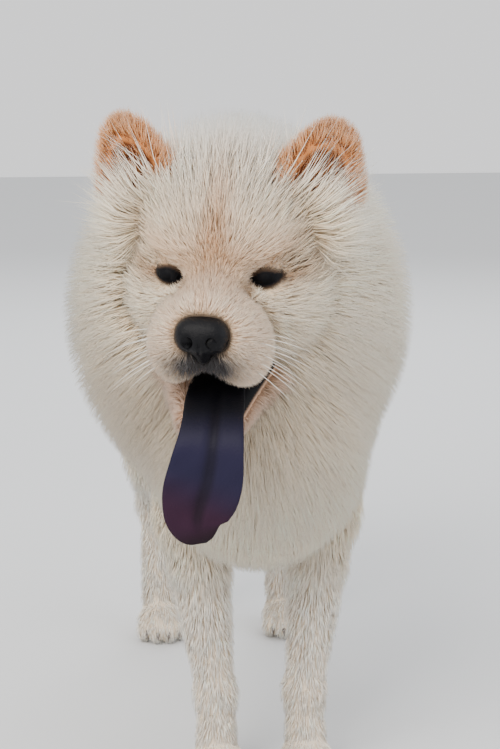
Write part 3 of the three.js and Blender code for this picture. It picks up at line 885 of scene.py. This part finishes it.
roots = scatter(head_points, head_quads, face_spacing)
facing = slope(head_field, roots, 0.8)
furred = (bare(roots) < 0.35) & (distance(nose, roots) > 0.1)
keep = furred & ~on_ears(roots) & (body_field(roots) > -3)
roots, facing = roots[keep], facing[keep]
q = to_local(HEAD, roots)
depth = np.maximum(-np.minimum(distance(outer_head, roots), distance(ruff, roots)), 5)
depth = np.where(distance(jaw, roots) < 0.8, np.clip(6 + 0.25 * (q[:, 1] + 50), 6, 24), depth)
lie = head_lie(roots)
color = markings(roots)
eye_gap = np.minimum(lid_slit(q, LEFT), lid_slit(q, RIGHT))
depth = depth * (0.35 + 0.65 * smooth(eye_gap, 2, 13))
for side in (LEFT, RIGHT):
    depth = depth + 6 * spot(q, (side * 41, -12, 19), (18, 14, 8))
face = depth < 14
length = np.where(face, 3.5 + depth * 1.3, depth * (1.75 + 0.35 * smooth(q[:, 1], 0, 45)))
length = length * (0.55 + 0.45 * smooth(eye_gap, 2, 12))
tip_q = to_local(HEAD, roots + facing * depth[:, None] + unit(lie) * (length * 0.6)[:, None])
clear = np.minimum(lid_slit(tip_q, LEFT), lid_slit(tip_q, RIGHT)) > 0.4
face, far = face & clear, ~face & clear
grow(
    "coat_face", "face", roots[face], facing[face], lie[face], length[face], depth[face] * 0.8,
    0.62 + 0.02 * depth[face], color[face], 0.15, 5,
)
grow(
    "coat_head", "head", roots[far], facing[far], lie[far], length[far], depth[far] * 0.9,
    0.8 + 0.008 * depth[far], color[far], 0.2, 7,
)

# Coat of the ears
# Short apricot plush on the back and edge of each small rounded ear, and sparse wisps across its cup.
# It stands up along the ear and flares out over the edges.
EAR_SPACING = 1.35
CUP_EDGE = 3.0
WISP_SHARE = 0.14
roots = scatter(head_points, head_quads, lambda p: np.full(len(p), EAR_SPACING))
roots = roots[on_ears(roots)]
facing = slope(head_field, roots, 0.8)
on_left = (to_local(HEAD, roots)[:, 0] > 0)[:, None]
rise = np.where(on_left, EAR[LEFT][0][:, 2], EAR[RIGHT][0][:, 2])
across = np.where(on_left, EAR[LEFT][0][:, 0], EAR[RIGHT][0][:, 0])
r = np.where(on_left, to_local(EAR[LEFT], roots), to_local(EAR[RIGHT], roots))
cup = primitive_distance(EAR_CUP, r)
plush = cup > CUP_EDGE
flare = (np.sign(r[:, 0]) * 0.75 * smooth(np.abs(r[:, 0]), 8, 30))[:, None]
rise = rise + across * flare
grow(
    "coat_ears", "ear", roots[plush], facing[plush], rise[plush] + 0.35 * facing[plush],
    17.0, 8.5, 0.85, markings(roots[plush]), 0.2, 6,
)
wisps = (cup < CUP_EDGE) & (rng.random(len(roots)) < WISP_SHARE)
wisp_color = mix(markings(roots[wisps]), EAR_ORANGE, np.full(wisps.sum(), 0.6))
grow(
    "coat_ear_wisps", "ear", roots[wisps], facing[wisps], rise[wisps],
    20.0, 9.0, 0.9, wisp_color, 0.4, 8,
)


# Coat of the body
# The long stand-off ruff, the coat of the back and flanks, the breeches, the upper legs and the tail.
# Each part grows from the skin out to the face of the solids and lies the way that its hair falls.
def body_spacing(p):
    return 1.85 + 1.75 * smooth(p[:, 1], -190, -80)


LEG_COAT_FROM = 195
SHORTEST_COAT = 7
LONGEST_COAT = 62
roots_of = {}
for title, points, quads, field in (
    ("body", body_points, body_quads, body_field),
    ("ruff", ruff_points, ruff_quads, ruff_field),
    ("tail", tail_points, tail_quads, tail_field),
):
    found = scatter(points, quads, body_spacing)
    roots_of[title] = (found, slope(field, found, 1.0))
solid_fields = {
    "body": union_distance([torso, *forelegs, *hindlegs], 20),
    "ruff": ruff_field,
    "tail": lambda p: distance(tail_core[1], p),
}
all_roots, all_facing = [], []
for title, (found, facings) in roots_of.items():
    keep = distance(outer_head, found) > -38
    for other, field in solid_fields.items():
        if other != title:
            keep &= field(found) > -2
    all_roots.append(found[keep])
    all_facing.append(facings[keep])
roots, facing = np.concatenate(all_roots), np.concatenate(all_facing)
depth, which = outer_depth(roots)
kinds = np.array([kind for kind, _ in OUTERS])[which]
kinds = np.where(kinds == "head", "ruff", kinds)
keep = ((kinds != "fore") & (kinds != "hind")) | (roots[:, 2] > LEG_COAT_FROM)
roots, facing, kinds = roots[keep], facing[keep], kinds[keep]
depth = np.clip(depth[keep], SHORTEST_COAT, LONGEST_COAT)
color = markings(roots)
axis = np.array([-30.0, 0, 440])
radial = unit((roots - axis) * np.array([1, 0, 1]))
lies = {
    "torso": np.tile([0, 1, -0.4], (len(roots), 1)),
    "ruff": radial * 0.8 + np.array([0, 0.3, -0.5]) + np.outer(smooth(roots[:, 1], -175, -105), (0, 1.3, 0.1)),
    "tail": np.where((roots[:, 1] > 225)[:, None], np.array([0, 0.2, 1]), np.array([0.12, -1, -0.1])),
    "hind": np.tile([0, 0.55, -1], (len(roots), 1)),
    "fore": np.tile([0, 0.25, -1], (len(roots), 1)),
}
for kind in ("ruff", "torso", "hind", "fore", "tail"):
    mine = kinds == kind
    island = "leg" if kind in ("hind", "fore") else kind
    width = 1.05 + 0.9 * smooth(roots[mine][:, 1], -190, -80) + 0.008 * depth[mine]
    grow(
        f"coat_{kind}", island, roots[mine], facing[mine], lies[kind][mine],
        depth[mine] * 1.55 + 8, depth[mine] * 0.98, width, color[mine], 0.22, 9,
    )

# Coat of the lower legs and feet
# Short plush, shortest over the toes, which takes over from the upper legs' longer hair.
# It lies down the shanks and spreads from each wrist over its paw.
SOLE_EDGE = 3
FOOT_COAT_TOP = 205
roots = scatter(foot_points, foot_quads, lambda p: 2.1 + 0.35 * smooth(p[:, 2], 40, 110))
roots = roots[(roots[:, 2] > SOLE_EDGE) & (roots[:, 2] < FOOT_COAT_TOP)]
facing = slope(foot_union, roots, 0.8)
depth = np.where(roots[:, 2] < 45, 5.5, np.clip(outer_depth(roots)[0], 7, 26))
paw_middle = np.array(PAWS)
nearest = np.argmin(np.linalg.norm(roots[:, None, :2] - paw_middle[None], axis=2), axis=1)
wrist = np.column_stack([paw_middle[nearest] + np.array([0, 14]), np.full(len(roots), 62)])
lie = np.where((roots[:, 2] < 42)[:, None], unit(roots - wrist), np.array([0, 0.12, -1]))
grow(
    "coat_feet", "leg", roots, facing, lie, depth * 1.3 + 6, depth * 0.7,
    1.2 + 0.03 * depth, markings(roots), 0.06, 8,
)

# Eyes
# Small dark almond eyes, set deep, wet and nearly black all over.
# Each is a ball behind its lids, turned a little outwards.
def piece_from(sheet, name, material):
    mesh = bpy.data.meshes.new(name)
    sheet.to_mesh(mesh)
    sheet.free()
    mesh.shade_smooth()
    made = new_object(name, mesh, material)
    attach(made, "root")
    return made


eye_material = plain_material("eye", (0.003, 0.002, 0.002), 0.08)
eye_material.node_tree.nodes["Principled BSDF"].inputs["Specular IOR Level"].default_value = 0.08
for name, side in SIDES.items():
    sheet = bmesh.new()
    bmesh.ops.create_uvsphere(sheet, u_segments=40, v_segments=24, radius=EYE_RADIUS)
    place = to_world(HEAD, (side * EYE_X, 0, 0))[0]
    for vertex in sheet.verts:
        vertex.co = metres(np.array(vertex.co) + place)
    eye = piece_from(sheet, "eyeball_" + name, eye_material)
    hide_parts("eye_" + name)

# Nose
# Black, pebbled, damp leather at the end of the muzzle, with two comma-shaped nostrils.
# It is set into the muzzle's end and split by a shallow groove.
NOSE_VOXEL = 0.8
NOSTRIL_SHADE = np.array([0.002, 0.002, 0.002])
nose_points, nose_quads = fused([nose], lambda p: distance(nose, p), NOSE_VOXEL)
nostril_depth = distance({**nose, "cuts": []}, nose_points)
nose_tint = np.tile(BLACK, (len(nose_points), 1))
# Painted shade: the leather is darkened deeper inside the nostrils.
nose_tint = mix(nose_tint, NOSTRIL_SHADE, 1 - smooth(nostril_depth, -3, -0.8))
nose_piece = new_object(
    "nose_leather", mesh_from("nose_leather", nose_points, nose_quads, nose_tint),
    attribute_material("nose", 0.36, 1100, 0.8, specular=0.13),
)
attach(nose_piece, "root")
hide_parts("nose")

# Tongue
# The blue-black tongue hangs out over the lower lip, grooved down its middle, and widens towards its tip.
# It is a muscle rooted in the floor of the mouth.
TONGUE_PATH = np.array(
    [
        (0, 6, -84),
        (3, -36, -93),
        (7, -72, -103),
        (8, -90, -118),
        (4, -93, -145),
        (-3, -93, -170),
        (-4, -94, -186),
        (2, -95, -202),
    ],
    float,
)
TIP_FROM = 0.72
HALF_THICKNESS = 4.0
GROOVE_DEPTH = 4.2
TONGUE_BLACK = np.array([0.003, 0.003, 0.005])
TONGUE_BLUE = np.array([0.011, 0.009, 0.028])
TONGUE_PURPLE = np.array([0.022, 0.006, 0.018])
TIP_PURPLE = np.array([0.010, 0.003, 0.007])
FURROW_SHADE = np.array([0.003, 0.002, 0.004])


def along_tongue(t):
    """A smooth curve down the middle of the tongue, at shares t of its length."""
    path = TONGUE_PATH
    extended = np.vstack([2 * path[0] - path[1], path, 2 * path[-1] - path[-2]])
    dense = []
    for i in range(1, len(extended) - 2):
        a, b, c, d = extended[i - 1 : i + 3]
        u = np.linspace(0, 1, 24, endpoint=False)[:, None]
        bend = (2 * a - 5 * b + 4 * c - d) * u**2
        dense.append(0.5 * (2 * b + (c - a) * u + bend + (3 * b - a - 3 * c + d) * u**3))
    dense = np.vstack([*dense, path[-1:]])
    steps = np.concatenate([[0], np.cumsum(np.linalg.norm(np.diff(dense, axis=0), axis=1))])
    return np.column_stack([np.interp(t * steps[-1], steps, dense[:, i]) for i in range(3)])


def tongue_points(around, t):
    t = np.clip(t, 0.001, 0.999)
    centre = along_tongue(t)
    tangent = unit(along_tongue(np.minimum(t + 0.01, 1)) - along_tongue(np.maximum(t - 0.01, 0)))
    across = unit(np.array([1.0, 0, 0]) - tangent * tangent[:, :1])
    top = -np.cross(across, tangent)
    width = 21.5 + 3.5 * smooth(t, 0, 0.35) + 6.5 * smooth(t, 0.4, TIP_FROM)
    close = np.sqrt(np.clip(1 - (np.maximum(t - TIP_FROM, 0) / 0.28) ** 2.0, 0, 1)) * np.minimum(1, t * 20)
    half = width * close * np.cos(around)
    thick = HALF_THICKNESS * np.sin(around) * np.minimum(1, close * 1.4)
    groove = np.exp(-(((half - 2) / 3.0) ** 2)) * GROOVE_DEPTH
    groove = groove * smooth(t, 0.1, 0.3) * smooth(1 - t, 0.02, 0.12)
    ripple = 0.5 * np.sin(t * 40 + half * 0.22) * smooth(t, 0.4, 0.8)
    lift = thick + np.where(thick < 0, groove, 0) - (half / 26) ** 2 * 3 + ripple
    return centre + across * half[:, None] - top * lift[:, None]


sheet = bmesh.new()
bmesh.ops.create_uvsphere(sheet, u_segments=40, v_segments=80, radius=1)
unit_points = np.array([vertex.co for vertex in sheet.verts])
along = np.arccos(np.clip(unit_points[:, 2], -1, 1)) / np.pi
around = np.arctan2(unit_points[:, 1], unit_points[:, 0])
tongue_shape = to_world(HEAD, tongue_points(around, along))
for vertex, place in zip(sheet.verts, metres(tongue_shape)):
    vertex.co = place
bmesh.ops.recalc_face_normals(sheet, faces=sheet.faces)
tongue_tint = np.tile(TONGUE_BLACK, (len(along), 1))
tongue_tint = mix(tongue_tint, TONGUE_BLUE, smooth(along, 0.35, 0.6))
tongue_tint = mix(tongue_tint, TONGUE_PURPLE, smooth(along, 0.66, 0.88))
tongue_tint = mix(tongue_tint, TIP_PURPLE, smooth(along, 0.90, 0.99))
# Painted shade: the groove down the tongue's middle is darkened, where shade falls inside it.
furrow_shade = np.exp(-(((26 * np.cos(around) - 2) / 3.5) ** 2)) * (np.sin(around) < 0) * smooth(along, 0.3, 0.45)
tongue_tint = mix(tongue_tint, FURROW_SHADE, 0.8 * furrow_shade * (1 - smooth(along, 0.86, 0.97)))
tongue_material = attribute_material("tongue", 0.6, 520, 0.6, specular=0.14)
tongue = piece_from(sheet, "tongue_muscle", tongue_material)
add_tint(tongue.data, tongue_tint)
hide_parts("tongue")

# Whiskers
# A few stiff pale hairs stand out of each upper lip and droop at their ends.
# Each is a thin closed tapering hair rooted in the skin.
WHISKER_ROWS = 4
WHISKERS_IN_ROW = 3
WHISKER_RADIUS = 0.42


def horn(sheet, path, radius, sides):
    """A closed tapering tube along a path, in millimetres."""
    path = np.array(path, float)
    rings = []
    for i, centre in enumerate(path[:-1]):
        tangent = path[i + 1] - centre
        tangent /= np.linalg.norm(tangent)
        side = np.cross(tangent, (0.31, 0.2, 0.93))
        side /= np.linalg.norm(side)
        up = np.cross(side, tangent)
        size = radius * (1 - i / (len(path) - 1)) ** 0.6
        ring = []
        for angle in (2 * math.pi * k / sides for k in range(sides)):
            out = side * math.cos(angle) + up * math.sin(angle)
            ring.append(sheet.verts.new(metres(centre + out * size)))
        rings.append(ring)
    tip = sheet.verts.new(metres(path[-1]))
    sheet.faces.new(rings[0])
    for low, high in zip(rings, rings[1:]):
        for k in range(sides):
            sheet.faces.new((low[k], high[k], high[(k + 1) % sides], low[(k + 1) % sides]))
    for k in range(sides):
        sheet.faces.new((rings[-1][k], tip, rings[-1][(k + 1) % sides]))


sheet = bmesh.new()
for side in (LEFT, RIGHT):
    for row in range(WHISKER_ROWS):
        for column in range(WHISKERS_IN_ROW):
            root = np.array([side * (31 + 3 * column), -62 + 9 * column, -36 - 6.5 * row])
            out = np.array([side * (0.95 + rng.uniform(-0.1, 0.1)), 0.1 + 0.16 * column, -0.1 - 0.16 * row])
            span = rng.uniform(38, 62)
            steps = np.linspace(0, 1, 7)[:, None]
            path = root + out * span * steps + np.array([0, 0, -0.22]) * span * steps**2
            horn(sheet, to_world(HEAD, path), WHISKER_RADIUS, 4)
bmesh.ops.recalc_face_normals(sheet, faces=sheet.faces)
piece_from(sheet, "whiskers", plain_material("whisker", (0.80, 0.76, 0.68), 0.4))

# Claws
# Each toe ends in a short dark claw of horn, curved down and half hidden in the fur of the foot.
# Each is a closed tapering cone rooted in the end of its toe.
CLAW_RADIUS = 2.9
CLAW_BEND = ((0, 0, 0), (0, -4, 0), (0, -8, -2.5), (0, -10.5, -6.5))
sheet = bmesh.new()
for x, y in PAWS:
    for toe in TOES:
        start = np.array([x + toe * 12, y - (37 if abs(toe) < 1 else 29), 12.5])
        horn(sheet, [start + np.array(step) for step in CLAW_BEND], CLAW_RADIUS, 7)
bmesh.ops.recalc_face_normals(sheet, faces=sheet.faces)
piece_from(sheet, "claws", plain_material("claw", (0.10, 0.075, 0.06), 0.35))
